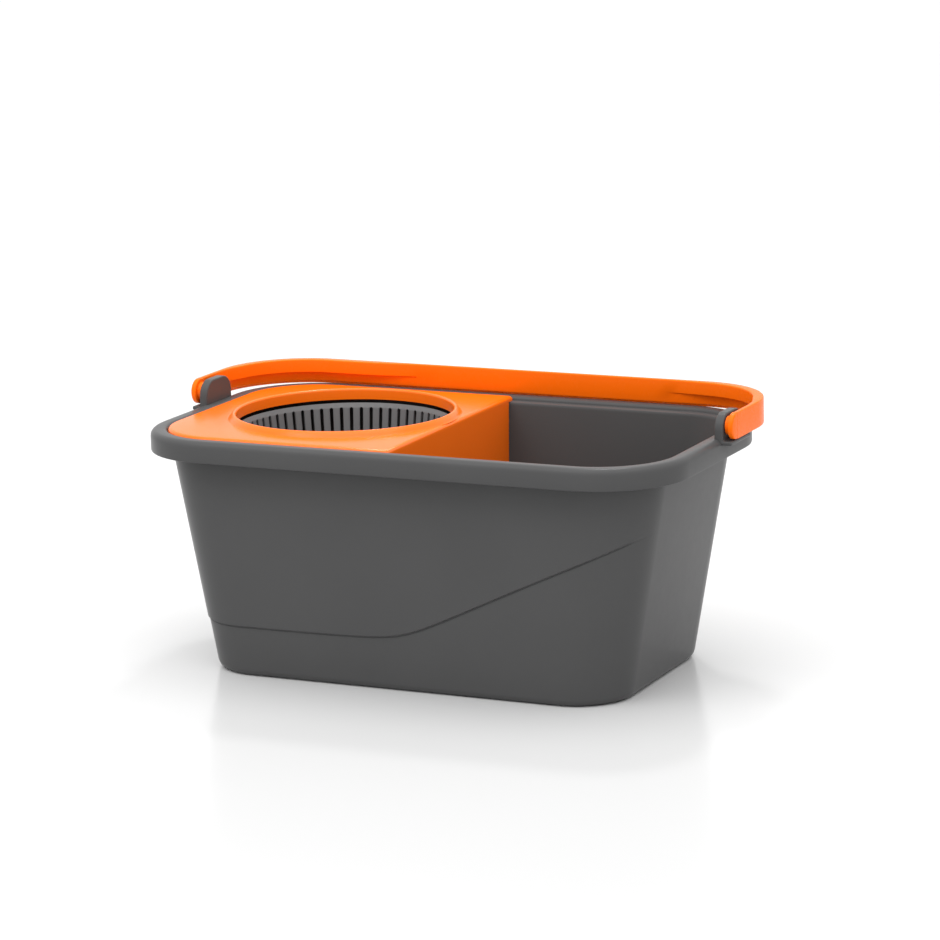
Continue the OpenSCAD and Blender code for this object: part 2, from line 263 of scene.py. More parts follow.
def combine(piece: Piece, other: Piece, operation: str) -> None:
    """Joins or cuts a piece with another closed solid, which is then removed.

    Args:
        piece: The object that stays.
        other: The object that is used up.
        operation: UNION or DIFFERENCE.
    """
    finish_with(piece, "BOOLEAN", object=other, operation=operation, solver="EXACT")
    bpy.data.objects.remove(other, do_unlink=True)


def smooth(piece: Piece, angle: float = SMOOTH_ANGLE) -> None:
    """Shades a finished piece smooth below an angle in degrees."""
    pick(piece)
    bpy.ops.object.shade_smooth_by_angle(angle=math.radians(angle))


def arc(centre: Point, radius: float, start: float, end: float, steps: int) -> list[Point]:
    """Points on an arc.

    Args:
        centre: Its centre.
        radius: Its radius.
        start: Angle of the first point in degrees.
        end: Angle of the last point in degrees.
        steps: Number of stretches between the points.

    Returns:
        steps + 1 points.
    """
    turns = [math.radians(start + (end - start) * k / steps) for k in range(steps + 1)]
    return [(centre[0] + radius * math.cos(t), centre[1] + radius * math.sin(t)) for t in turns]


def ease(share: float) -> float:
    """A share held between 0 and 1, with a soft start and end."""
    held = min(1.0, max(0.0, share))
    return held * held * (3 - 2 * held)


# Finishes


class Look:
    """A new material's nodes, laid from Object coordinates to its shader."""

    def __init__(self, name: str) -> None:
        """Starts the material.

        Args:
            name: The finish's name.
        """
        self.material = bpy.data.materials.new(f"{name}_look")
        self.material.use_nodes = True
        self.nodes, self.links = self.material.node_tree.nodes, self.material.node_tree.links
        self.shader = self.nodes["Principled BSDF"]
        self.place = self.nodes.new("ShaderNodeTexCoord").outputs["Object"]

    def noise(self, scale: float, detail: float) -> Socket:
        """Adds a noise texture.

        Args:
            scale: How fine it is.
            detail: How many finer layers it has.

        Returns:
            Its value socket.
        """
        noise = self.nodes.new("ShaderNodeTexNoise")
        noise.inputs["Scale"].default_value = scale
        noise.inputs["Detail"].default_value = detail
        self.links.new(self.place, noise.inputs["Vector"])
        return noise.outputs["Fac"]

    def tint(self, share: Socket, first: Colour, second: Colour) -> None:
        """Mixes the base colour out of two colours.

        Args:
            share: The second colour's share.
            first: The first colour.
            second: The second colour.
        """
        mix = self.nodes.new("ShaderNodeMix")
        mix.data_type = "RGBA"
        mix.inputs["A"].default_value = (*first, 1)
        mix.inputs["B"].default_value = (*second, 1)
        self.links.new(share, mix.inputs["Factor"])
        self.links.new(mix.outputs["Result"], self.shader.inputs["Base Color"])

    def gloss(self, share: Socket, low: float, high: float) -> None:
        """Spreads the roughness between two values.

        Args:
            share: Where between them it lies.
            low: The lower value.
            high: The higher value.
        """
        spread = self.nodes.new("ShaderNodeMapRange")
        spread.inputs["To Min"].default_value = low
        spread.inputs["To Max"].default_value = high
        self.links.new(share, spread.inputs["Value"])
        self.links.new(spread.outputs["Result"], self.shader.inputs["Roughness"])

    def bump(self, height: Socket, strength: float, distance: float) -> bpy.types.Node:
        """Adds a bump node.

        Args:
            height: The height that it reads.
            strength: How strong it is.
            distance: Its depth in metres.

        Returns:
            The node.
        """
        bump = self.nodes.new("ShaderNodeBump")
        bump.inputs["Strength"].default_value = strength
        bump.inputs["Distance"].default_value = distance
        self.links.new(height, bump.inputs["Height"])
        return bump


@dataclass(frozen=True)
class Plastic:
    """A moulded plastic: colour with a faint cloudiness, a fine skin and uneven gloss."""

    name: str
    colour: Colour
    roughness: float
    clouding: float = 0.06
    cloud_scale: float = 14.0
    gloss_scale: float = 126.0
    gloss_spread: float = 0.12
    grain: float = 0.12
    grain_scale: float = 1400.0
    grain_height: float = 0.0001
    ripple: float = 0.03
    ripple_scale: float = 22.0
    ripple_height: float = 0.002
    refraction: float = 1.5
    subsurface: float = 0.0
    subsurface_radius: Colour = (0.004, 0.0015, 0.0008)

    def build(self) -> bpy.types.Material:
        """Makes the material's nodes.

        Returns:
            The material.
        """
        look = Look(self.name)
        look.shader.inputs["IOR"].default_value = self.refraction
        look.shader.inputs["Subsurface Weight"].default_value = self.subsurface
        look.shader.inputs["Subsurface Radius"].default_value = self.subsurface_radius
        deep = [c * (1 - self.clouding) for c in self.colour]
        pale = [min(1.0, c * (1 + self.clouding)) for c in self.colour]
        look.tint(look.noise(self.cloud_scale, 3.0), deep, pale)
        low, high = self.roughness * (1 - self.gloss_spread), self.roughness * (1 + self.gloss_spread)
        look.gloss(look.noise(self.gloss_scale, 4.0), low, high)
        fine = look.bump(look.noise(self.grain_scale, 2.0), self.grain, self.grain_height)
        broad = look.bump(look.noise(self.ripple_scale, 1.0), self.ripple, self.ripple_height)
        look.links.new(fine.outputs["Normal"], broad.inputs["Normal"])
        look.links.new(broad.outputs["Normal"], look.shader.inputs["Normal"])
        return look.material


@dataclass(frozen=True)
class TurnedMetal:
    """A bare metal with fine lathe lines around an upright axis."""

    name: str
    colour: Colour
    roughness: float
    line_scale: float = 900.0
    line_depth: float = 0.15
    line_height: float = 0.0001
    line_wander: float = 1.5
    patch_scale: float = 260.0
    patch_shade: float = 0.85
    gloss_low: float = 0.8
    gloss_high: float = 1.25

    def build(self) -> bpy.types.Material:
        """Makes the material's nodes.

        Returns:
            The material.
        """
        look = Look(self.name)
        look.shader.inputs["Metallic"].default_value = 1.0
        lines = look.nodes.new("ShaderNodeTexWave")
        lines.bands_direction = "Z"
        lines.inputs["Scale"].default_value = self.line_scale
        lines.inputs["Distortion"].default_value = self.line_wander
        look.links.new(look.place, lines.inputs["Vector"])
        patch = look.noise(self.patch_scale, 2.0)
        look.tint(patch, [c * self.patch_shade for c in self.colour], self.colour)
        look.gloss(patch, self.roughness * self.gloss_low, self.roughness * self.gloss_high)
        bump = look.bump(lines.outputs["Fac"], self.line_depth, self.line_height)
        look.links.new(bump.outputs["Normal"], look.shader.inputs["Normal"])
        return look.material


BUCKET_GREY = Plastic("bucket_grey", (0.076, 0.076, 0.0765), 0.3, grain=0.15, refraction=1.18)
BASKET_GREY = Plastic("basket_grey", (0.15, 0.15, 0.152), 0.38, grain=0.15)
COVER_ORANGE = Plastic(
    "cover_orange", (1.0, 0.165, 0.004), 0.24, clouding=0.03, grain=0.05, refraction=1.36
)
HANDLE_ORANGE = Plastic(
    "handle_orange", (1.0, 0.155, 0.003), 0.27, clouding=0.03, grain=0.05, refraction=1.18
)
STAND_GREY = Plastic("stand_grey", (0.16, 0.16, 0.17), 0.45)
CROWN_GREY = Plastic("crown_grey", (0.06, 0.06, 0.06), 0.4)
CAP_BLACK = Plastic("cap_black", (0.02, 0.02, 0.02), 0.35)
CAGE_NYLON = Plastic("cage_nylon", (0.75, 0.7, 0.58), 0.5, subsurface=0.1)
PIN_STEEL = TurnedMetal("pin_steel", (0.6, 0.6, 0.61), 0.28)
SCREW_STEEL = TurnedMetal("screw_steel", (0.62, 0.62, 0.63), 0.34, line_scale=300.0)
BEARING_STEEL = TurnedMetal("bearing_steel", (0.7, 0.7, 0.72), 0.14, line_depth=0.05)

Finish = Plastic | TurnedMetal
LOOKS: dict[str, bpy.types.Material] = {}


def dress(piece: Piece, finish: Finish) -> None:
    """Gives a piece one finish all over.

    Args:
        piece: The object.
        finish: Its finish; the material is made once and shared.
    """
    if finish.name not in LOOKS:
        LOOKS[finish.name] = finish.build()
    piece.data.materials.clear()
    piece.data.materials.append(LOOKS[finish.name])
    for face in piece.data.polygons:
        face.material_index = 0


def install(piece: Piece, finish: Finish, body: Body, nodes: Sequence[str]) -> None:
    """Dresses a new piece, sets it on its body and lets it stand for CAD nodes.

    Args:
        piece: The finished object.
        finish: Its finish.
        body: The body that it rides on.
        nodes: The CAD nodes that it replaces.
    """
    dress(piece, finish)
    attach(piece, body.value)
    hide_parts(*nodes)
    LOG.info("%s: %d faces on %s", piece.name, len(piece.data.polygons), body.value)


# The bucket


@dataclass(frozen=True)
class Outline:
    """A rounded rectangle at one height, in millimetres."""

    half_length: float
    half_width: float
    corner: float
    height: float


@dataclass
class RingStack:
    """A skin bridged through rounded-rectangle rings that all have the same number of points."""

    piece: Piece
    corner_segments: int = 14
    side_cuts: int = 25
    long_share: float = 1.2
    level_gap: float = 0.01
    held_apart: float = 20.0
    rings: list[range] = field(default_factory=list)

    def add(self, outline: Outline) -> range:
        """Adds one ring: a plane, sized, with rounded corners and cuts along its long sides.

        Args:
            outline: The ring's shape.

        Returns:
            The indices of its vertices.
        """
        first = len(mesh_of(self.piece).verts)
        centre = Vector((0, 0, outline.height)) * MM
        bpy.ops.mesh.select_mode(type="VERT")
        bpy.ops.mesh.primitive_plane_add(size=2 * MM, location=centre)
        bpy.ops.transform.resize(
            value=(outline.half_length, outline.half_width, 1), center_override=centre
        )
        round_off(outline.corner, self.corner_segments, "VERTICES")
        select(self.piece, Element.VERTEX, lambda v: v.index >= first)
        bpy.ops.mesh.delete(type="ONLY_FACE")
        straight = self.long_share * (outline.half_length - outline.corner) * MM
        select(
            self.piece,
            Element.EDGE,
            lambda e: e.verts[0].index >= first and abs(e.verts[0].co.x - e.verts[1].co.x) > straight,
        )
        bpy.ops.mesh.subdivide(number_cuts=self.side_cuts)
        ring = range(first, len(mesh_of(self.piece).verts))
        self.rings.append(ring)
        return ring

    def bridge(self) -> None:
        """Bridges each ring to the next. Level pairs, which bridge crosswise, are held apart meanwhile."""
        apart = Vector((0, 0, self.held_apart * MM))
        for low, high in zip(self.rings, self.rings[1:]):
            shape = mesh_of(self.piece)
            climb = shape.verts[high[0]].co.z - shape.verts[low[0]].co.z
            move = apart if abs(climb) < self.level_gap * MM else Vector((0, 0, 0))
            self.shift(high, move)
            select(self.piece, Element.VERTEX, lambda v: v.index in low or v.index in high)
            bpy.ops.mesh.bridge_edge_loops()
            self.shift(high, -move)

    def shift(self, ring: range, move: Vector) -> None:
        """Moves one ring by a vector in metres."""
        select(self.piece, Element.VERTEX, lambda v: v.index in ring)
        bpy.ops.transform.translate(value=move)

    def cap(self, ring: range) -> None:
        """Fills one ring with a face."""
        select(self.piece, Element.VERTEX, lambda v: v.index in ring)
        bpy.ops.mesh.edge_face_add()


@dataclass
class Bucket:
    """The bucket moulding: tapered body, stepped panel, rolled rim and two handle lugs."""

    rim_half_length: float = 240.0
    rim_half_width: float = 137.5
    rim_corner: float = 74.0
    rim_top: float = 204.0
    neck_height: float = 186.0
    wall: float = 3.2
    floor_top: float = 3.0
    recess: float = 1.2
    groove: float = 0.5
    step_start: float = 92.0
    step_low: float = 43.0
    step_slope: float = 0.500
    step_bend: float = 5.6
    step_softness: float = 25.0
    flush_start: float = 0.3
    flush_span: float = 0.25
    foot_round: float = 6.5
    floor_round: float = 8.0
    shoulder: float = 5.5
    shelf_inset: float = 14.4
    shelf_height: float = 200.5
    skirt_inset: float = 2.4
    foot: Outline = Outline(188.0, 110.0, 48.0, 0.0)
    neck: Outline = Outline(221.5, 119.0, 55.0, 186.0)
    lug_start: float = 6.0
    lug_length: float = 44.0
    lug_inner: float = 234.0
    lug_outer: float = 241.5
    lug_top: float = 224.4
    lug_corner: float = 14.0
    ledge_outer: float = 249.0
    ledge_low: float = 199.0
    ledge_top: float = 202.3
    pivot: Point = (17.0, 214.0)
    socket_radius: float = 5.06
    socket_wall: float = 1.5
    lug_edge: float = 1.1
    lug_edge_angle: float = 40.0
    neck_flare: tuple[Point, ...] = ((0.0, 194.6), (-0.4, 196.0), (-1.6, 197.0))
    inner_fall: tuple[Point, ...] = ((1.4, 200.3), (2.5, 199.9), (3.0, 199.0))

    def body_at(self, height: float, inset: float = 0.0) -> Outline:
        """Outline of the tapered body.

        Args:
            height: The height that it is taken at.
            inset: How far it is moved inwards.

        Returns:
            The outline.
        """
        share = height / self.neck.height
        return Outline(
            self.foot.half_length + share * (self.neck.half_length - self.foot.half_length) - inset,
            self.foot.half_width + share * (self.neck.half_width - self.foot.half_width) - inset,
            self.foot.corner + share * (self.neck.corner - self.foot.corner) - inset,
            height,
        )

    def rim_at(self, inset: float, height: float) -> Outline:
        """The rim's outline at a height, moved inwards by an inset."""
        return Outline(
            self.rim_half_length - inset, self.rim_half_width - inset, self.rim_corner - inset, height
        )

    def step_height(self, x: float) -> float:
        """Height of the step line above a place along the bucket."""
        run = x - self.step_bend
        return self.step_low + self.step_slope * (run + math.hypot(run, self.step_softness)) / 2

    def flush_share(self, x: float, height: float) -> float:
        """How far the panel comes flush with the body at a place: 0 along the sides, 1 on the washing end."""
        outline = self.body_at(height)
        run = x - outline.half_length + self.flush_start * outline.corner
        return ease(run / (self.flush_span * outline.corner))

    def relieve(self, stack: RingStack, ring: range, recess: float, extra: float, rise: float | None) -> None:
        """Brings a level ring flush towards the washing end and, with a rise, slides it onto the step line.

        Args:
            stack: The skin that the ring belongs to.
            ring: The ring's vertices.
            recess: Depth of the ring inside the body's face, which fades out on the washing end.
            extra: Further depth that stays.
            rise: Height of the ring above the step line, or None to keep the ring level.
        """
        shape = mesh_of(stack.piece)
        moves: dict[int, Vector] = {}
        for index in ring:
            place = shape.verts[index].co / MM
            height = place.z if rise is None else self.step_height(place.x) + rise
            kept = recess * (1 - self.flush_share(place.x, place.z))
            old, new = self.body_at(place.z, recess + extra), self.body_at(height, kept + extra)
            moves[index] = (slide(place, old, new) - place) * MM
        nudge(stack.piece, moves)

    def skin(self) -> Piece:
        """Builds the closed skin of the body and the rim.

        Returns:
            The object, out of edit mode.
        """
        piece = open_bench("bucket_moulding")
        stack = RingStack(piece)
        for inset, height in arc((self.foot_round, self.foot_round), self.foot_round, 270, 180, 5):
            ring = stack.add(self.body_at(height, self.recess + inset))
            self.relieve(stack, ring, self.recess, inset, None)
        deep = self.recess + self.groove
        step = ((self.recess, -2.4), (self.recess, -1.6), (deep, -1.0), (deep, -0.1), (0.0, 0.5), (0.0, 1.5))
        for recess, rise in step:
            self.relieve(stack, stack.add(self.body_at(self.step_start, recess)), recess, 0.0, rise)
        stack.add(self.body_at(self.neck_height, 0.0))
        for inset, height in self.neck_flare:
            stack.add(self.body_at(height, inset))
        for inset, height in ((self.skirt_inset + 3, 200.4), (self.skirt_inset + 0.8, 200.0)):
            stack.add(self.rim_at(inset, height))
        stack.add(self.rim_at(self.skirt_inset, 198.6))
        middle = self.skirt_inset / 2
        for inset, height in arc((middle, self.neck_height + middle), middle, 0, -180, 4):
            stack.add(self.rim_at(inset, height))
        for inset, height in arc((self.shoulder, self.rim_top - self.shoulder), self.shoulder, 180, 90, 6):
            stack.add(self.rim_at(inset, height))
        edge = self.rim_top - self.shelf_height
        for inset, height in arc((self.shelf_inset - edge, self.shelf_height), edge, 90, 4, 5):
            stack.add(self.rim_at(inset, height))
        for inset, height in (*self.inner_fall, (self.wall, 197.6)):
            stack.add(self.body_at(height, inset))
        centre = (self.wall + self.floor_round, self.floor_top + self.floor_round)
        for inset, height in arc(centre, self.floor_round, 180, 270, 6):
            stack.add(self.body_at(height, inset))
        stack.bridge()
        stack.cap(stack.rings[0])
        stack.cap(stack.rings[-1])
        return close_bench(piece)

    def lug(self, side: int) -> Piece:
        """Builds one handle lug with the ledge under the handle's tab.

        Args:
            side: 1 for the washing side, -1 for the basket side.

        Returns:
            The object, out of edit mode.
        """
        piece = open_bench("lug")
        middle = Vector((
            side * (self.lug_inner + self.lug_outer) / 2,
            self.lug_start + self.lug_length / 2,
            (self.ledge_low + self.lug_top) / 2,
        ))
        extent = (self.lug_outer - self.lug_inner, self.lug_length, self.lug_top - self.ledge_low)
        bpy.ops.mesh.primitive_cube_add(size=MM, location=middle * MM)
        bpy.ops.transform.resize(value=extent, center_override=middle * MM)
        top = (self.lug_top - NEAR) * MM
        select(
            piece,
            Element.EDGE,
            lambda e: min(v.co.z for v in e.verts) > top
            and abs(e.verts[0].co.y - e.verts[1].co.y) < TOLERANCE,
        )
        round_off(self.lug_corner, 12)
        bpy.ops.mesh.select_all(action="SELECT")
        bpy.ops.mesh.bisect(plane_co=(0, 0, self.ledge_top * MM), plane_no=(0, 0, 1))
        between = (self.ledge_low + self.ledge_top) / 2 * MM
        select(
            piece,
            Element.FACE,
            lambda f: f.normal.x * side > FACING and abs(f.calc_center_median().z - between) < MM,
        )
        reach = side * (self.ledge_outer - self.lug_outer) * MM
        extrude((reach, 0, 0))
        close_bench(piece)
        soften(piece, self.lug_edge, 3, self.lug_edge_angle)
        return piece

    def socket(self, side: int) -> Piece:
        """Builds the cutter for one lug's blind pivot socket.

        Args:
            side: 1 for the washing side, -1 for the basket side.

        Returns:
            The object, out of edit mode.
        """
        piece = open_bench("socket")
        bottom, mouth = self.lug_inner + self.socket_wall, self.lug_outer + 2
        place = Vector((side * (bottom + mouth) / 2, *self.pivot)) * MM
        bpy.ops.mesh.primitive_cylinder_add(
            vertices=48,
            radius=self.socket_radius * MM,
            depth=(mouth - bottom) * MM,
            location=place,
            rotation=(0, math.pi / 2, 0),
        )
        return close_bench(piece)

    def build(self) -> None:
        """Builds the moulding and puts it in place of the CAD bucket."""
        piece = self.skin()
        for side in (1, -1):
            combine(piece, self.lug(side), "UNION")
            combine(piece, self.socket(side), "DIFFERENCE")
        smooth(piece)
        install(piece, BUCKET_GREY, Body.BUCKET, ["bucket"])


def slide(place: Vector, old: Outline, new: Outline) -> Vector:
    """Moves a point from its place on one outline to the same place on another.

    Args:
        place: The point in millimetres.
        old: The outline that it lies on.
        new: The outline that it goes to.

    Returns:
        The new point in millimetres.
    """
    moved = []
    for value, before, after in (
        (place.x, old.half_length, new.half_length),
        (place.y, old.half_width, new.half_width),
    ):
        straight = before - old.corner
        if abs(value) <= straight + TOLERANCE:
            moved.append(value * (after - new.corner) / straight)
        else:
            share = (abs(value) - straight) / old.corner
            moved.append(math.copysign(after - new.corner + share * new.corner, value))
    return Vector((moved[0], moved[1], new.height))


# The splash cover


@dataclass
class SplashCover:
    """The splash cover: plate with a hem, raised ring around the hole, and the wall down into the bucket."""

    left: float = 225.2
    half_width: float = 122.7
    corner: float = 59.2
    wall_face: float = 2.0
    wall_thickness: float = 2.5
    wall_half_top: float = 115.0
    wall_half_low: float = 108.4
    wall_low: float = 60.0
    top: float = 205.0
    hem_low: float = 200.5
    plate: float = 2.5
    edge_round: float = 3.4
    hole_x: float = -98.0
    hole_radius: float = 92.2
    ring_radius: float = 98.5
    ring_crest: float = 210.0
    ring_bead: float = 1.9
    wall_root: float = 0.3
    facets: int = 144
    smooth_angle: float = 40.0

    def panel(self) -> Piece:
        """Builds the plate, its hem and the straight wall from one plane.

        Returns:
            The object, out of edit mode.
        """
        piece = open_bench("splash_cover_moulding")
        middle = Vector(((self.wall_face - self.left) / 2, 0, self.top)) * MM
        bpy.ops.mesh.select_mode(type="VERT")
        bpy.ops.mesh.primitive_plane_add(size=MM, location=middle)
        bpy.ops.transform.resize(
            value=(self.left + self.wall_face, 2 * self.half_width, 1), center_override=middle
        )
        select(piece, Element.VERTEX, lambda v: v.co.x < 0)
        round_off(self.corner, 24, "VERTICES")
        bpy.ops.mesh.select_all(action="SELECT")
        drop = (self.hem_low - self.top) * MM
        extrude((0, 0, drop))
        under = (self.top - NEAR) * MM
        select(piece, Element.FACE, lambda f: abs(f.normal.z) > FACING and f.calc_center_median().z < under)
        bpy.ops.mesh.inset(thickness=self.wall_thickness * MM)
        extrude((0, 0, (self.top - self.plate - self.hem_low) * MM))
        self.pull_wall(piece)
        level = (self.top - NEAR) * MM
        select(piece, Element.EDGE, lambda e: min(v.co.z for v in e.verts) > level)
        round_off(self.edge_round, 6)
        return close_bench(piece)

    def pull_wall(self, piece: Piece) -> None:
        """Extrudes the wall down from the hem's straight side, narrow enough for the bucket's taper.

        Args:
            piece: The object in edit mode.
        """
        side = (self.wall_face - 0.6 * self.wall_thickness) * MM
        low = (self.hem_low + NEAR) * MM
        select(
            piece,
            Element.FACE,
            lambda f: abs(f.normal.z) > FACING
            and f.calc_center_median().z < low
            and f.calc_center_median().x > side,
        )
        steps = (
            (-self.wall_root, self.wall_half_top / self.half_width),
            (self.wall_low - self.hem_low + self.wall_root, self.wall_half_low / self.wall_half_top),
        )
        for drop, narrowing in steps:
            extrude((0, 0, drop * MM))
            bpy.ops.transform.resize(value=(1, narrowing, 1), center_override=(0, 0, 0))

    def ring_profile(self) -> list[Point]:
        """Section of the raised ring: upright inside, sloping outside.

        Returns:
            Radius and height of each corner.
        """
        inner, outer, crest = self.hole_radius, self.ring_radius, self.ring_crest
        bead = self.ring_bead
        return [
            (inner, self.hem_low),
            (inner, crest - bead),
            *arc((inner + bead, crest - bead), bead, 165, 60, 7),
            (outer - 1.1, self.top + 1.6),
            (outer - 0.45, self.top + 0.7),
            (outer + 0.4, self.top + 0.05),
            (outer + 0.4, self.top - 1.2),
            (inner + 2.2, self.top - 1.8),
            (inner + 2.2, self.hem_low),
        ]

    def build(self) -> None:
        """Builds the moulding and puts it in place of the CAD cover."""
        piece = self.panel()
        hole = open_bench("hole")
        bpy.ops.mesh.primitive_cylinder_add(
            vertices=self.facets,
            radius=(self.hole_radius + 3) * MM,
            depth=30 * MM,
            location=(self.hole_x * MM, 0, 200 * MM),
        )
        combine(piece, close_bench(hole), "DIFFERENCE")
        ring = open_bench("ring")
        turn_profile(ring, self.ring_profile(), self.hole_x, self.facets)
        combine(piece, close_bench(ring), "UNION")
        smooth(piece, self.smooth_angle)
        install(piece, COVER_ORANGE, Body.BUCKET, ["splash_cover"])


# The spin basket


@dataclass
class SpinBasket:
    """The wringer basket: slotted wall, floor with drain slots, and the bearing hub under it."""

    axis_x: float = -98.0
    slots: int = 64
    columns_per_slot: int = 6
    slot_columns: int = 2
    floor_mid: float = 113.5
    top: float = 198.5
    low_radius: float = 79.0
    top_radius: float = 90.5
    thickness: float = 2.2
    slot_low: float = 122.0
    slot_high: float = 193.0
    drains: int = 24
    drain_inner: float = 38.0
    drain_outer: float = 72.0
    drain_columns: int = 4
    open_radius: float = 30.5
    floor_round: float = 4.0
    arch: float = 1.2
    edge: float = 0.35
    edge_angle: float = 50.0
    hub_facets: int = 64
    smooth_angle: float = 34.0

    def wall_radius(self, height: float) -> float:
        """Radius of the wall's middle at a height."""
        share = (height - self.floor_mid) / (self.top - self.floor_mid)
        return self.low_radius + share * (self.top_radius - self.low_radius)

    def courses(self) -> list[Point]:
        """Courses of the sheet, from the floor's opening to the rolled top.

        Returns:
            Radius and height of each course.
        """
        corner = self.floor_round
        bend = arc((self.low_radius - corner, self.floor_mid + corner), corner, 270, 355, 4)
        wall = [(self.wall_radius(z), z) for z in (self.slot_low, self.slot_high, self.top - 4.5)]
        lip = [(self.top_radius + 0.9, self.top - 2.2), (self.top_radius + 1.2, self.top - 0.9)]
        floor = [(r, self.floor_mid) for r in (self.open_radius, self.drain_inner, self.drain_outer)]
        return [*floor, *bend, *wall, *lip]

    def turn_share(self, place: Vector) -> float:
        """How far round the axis a place lies, from 0 to 1."""
        return math.atan2(place.y, place.x - self.axis_x * MM) % math.tau / math.tau

    def is_cut(self, face: bmesh.types.BMFace) -> bool:
        """Tells slots and drains from the sheet around them.

        Args:
            face: A face of the plain sheet.

        Returns:
            Whether it lies in a slot or in a drain.
        """
        centre = face.calc_center_median()
        columns = self.slots * self.columns_per_slot
        column = int(self.turn_share(centre) * columns)
        if self.slot_low * MM < centre.z < self.slot_high * MM:
            return column % self.columns_per_slot < self.slot_columns
        radius = math.hypot(centre.x - self.axis_x * MM, centre.y) / MM
        on_floor = centre.z < (self.floor_mid + 1) * MM
        in_drain = column % (columns // self.drains) < self.drain_columns
        return on_floor and self.drain_inner < radius < self.drain_outer and in_drain

    def arch_slots(self, piece: Piece) -> None:
        """Arches the ends of each slot: lifts the middle of its top edge and drops the middle of its foot.

        Args:
            piece: The object in edit mode.
        """
        columns = self.slots * self.columns_per_slot
        middle = self.slot_columns // 2
        for level, lift in ((self.slot_high, self.arch), (self.slot_low, -self.arch)):
            select(
                piece,
                Element.VERTEX,
                lambda v: abs(v.co.z - level * MM) < 10 * TOLERANCE
                and round(self.turn_share(v.co) * columns) % self.columns_per_slot == middle,
            )
            bpy.ops.transform.translate(value=(0, 0, lift * MM))

    def sheet(self) -> Piece:
        """Builds the slotted floor and wall as one sheet, then gives it its thickness and soft edges.

        Returns:
            The object, out of edit mode.
        """
        piece = open_bench("basket_moulding")
        centre = Vector((self.axis_x * MM, 0, 0))
        courses = self.courses()
        radius, height = courses[0]
        bpy.ops.mesh.primitive_circle_add(
            vertices=self.slots * self.columns_per_slot,
            radius=radius * MM,
            location=centre + Vector((0, 0, height * MM)),
            rotation=(0, 0, math.radians(-90)),
        )
        for (near, low), (far, high) in zip(courses, courses[1:]):
            extrude((0, 0, (high - low) * MM))
            bpy.ops.transform.resize(
                value=(far / near, far / near, 1), center_override=centre + Vector((0, 0, high * MM))
            )
        self.arch_slots(piece)
        select(piece, Element.FACE, self.is_cut)
        bpy.ops.mesh.delete(type="FACE")
        close_bench(piece)
        finish_with(piece, "SOLIDIFY", thickness=self.thickness * MM, offset=0.0, use_even_offset=True)
        soften(piece, self.edge, 2, self.edge_angle)
        return piece

    def hub(self) -> Piece:
        """Builds the bearing hub and the plain disc around it.

        Returns:
            The object, out of edit mode.
        """
        piece = open_bench("basket_hub")
        profile = [
            (11.0, 84.8), (14.0, 84.8), (15.0, 85.8), (15.0, 110.0), (17.0, 112.0),
            (31.0, 112.0), (31.0, 115.0), (15.0, 115.0), (15.0, 116.0),
            (11.0, 116.0), (11.0, 103.0), (9.6, 103.0), (9.6, 93.0), (11.0, 93.0),
        ]
        turn_profile(piece, profile, self.axis_x, self.hub_facets)
        return close_bench(piece)

    def build(self) -> None:
        """Builds the basket and puts it in place of the CAD basket."""
        piece, hub = self.sheet(), self.hub()
        pick(piece)
        hub.select_set(True)
        bpy.ops.object.join()
        smooth(piece, self.smooth_angle)
        install(piece, BASKET_GREY, Body.BASKET, ["spin_basket"])


# The bail handle


